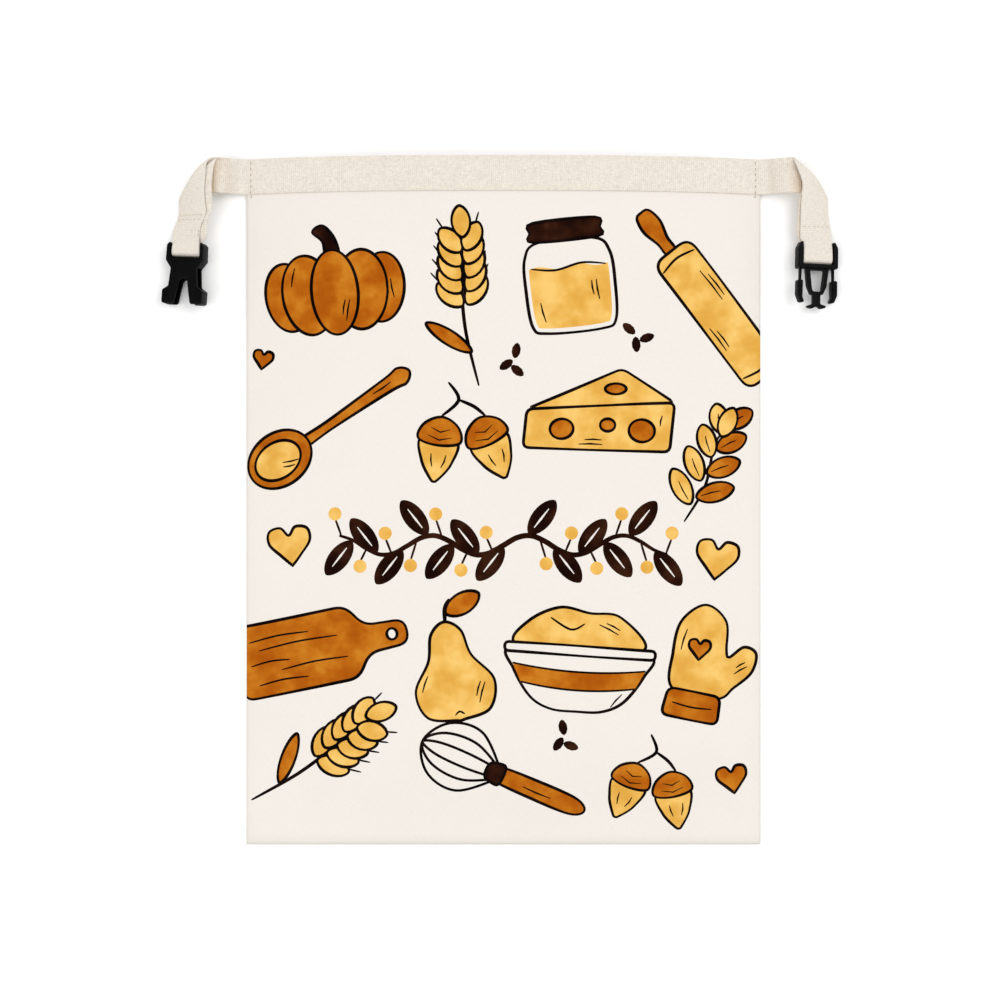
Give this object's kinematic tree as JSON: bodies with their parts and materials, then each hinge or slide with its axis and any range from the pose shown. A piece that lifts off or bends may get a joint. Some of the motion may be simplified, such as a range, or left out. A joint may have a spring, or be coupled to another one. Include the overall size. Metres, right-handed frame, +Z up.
{
  "type": "cloth bread bag",
  "caption": "Flat cotton storage bag, open at the top, with a tape round its front edge whose two ends carry the halves of a side-release clasp.",
  "frame": {"origin": "middle of the back panel's underside, on the surface that the bag lies on", "axes": "+Z up out of the front panel, +Y along the bag towards its mouth, +X towards the prong half of the clasp"},
  "size_m": [0.3932, 0.4008, 0.0146],
  "materials": {
    "canvas": "cream cotton canvas, printed on the front",
    "tape": "unbleached cotton tape",
    "clasp_black": "satin moulded plastic"
  },
  "bodies": {
    "root": {"front_panel": "canvas", "back_panel": "canvas", "mouth_tape": "tape", "socket_half": "clasp_black", "prong_half": "clasp_black"}
  },
  "joints": []
}
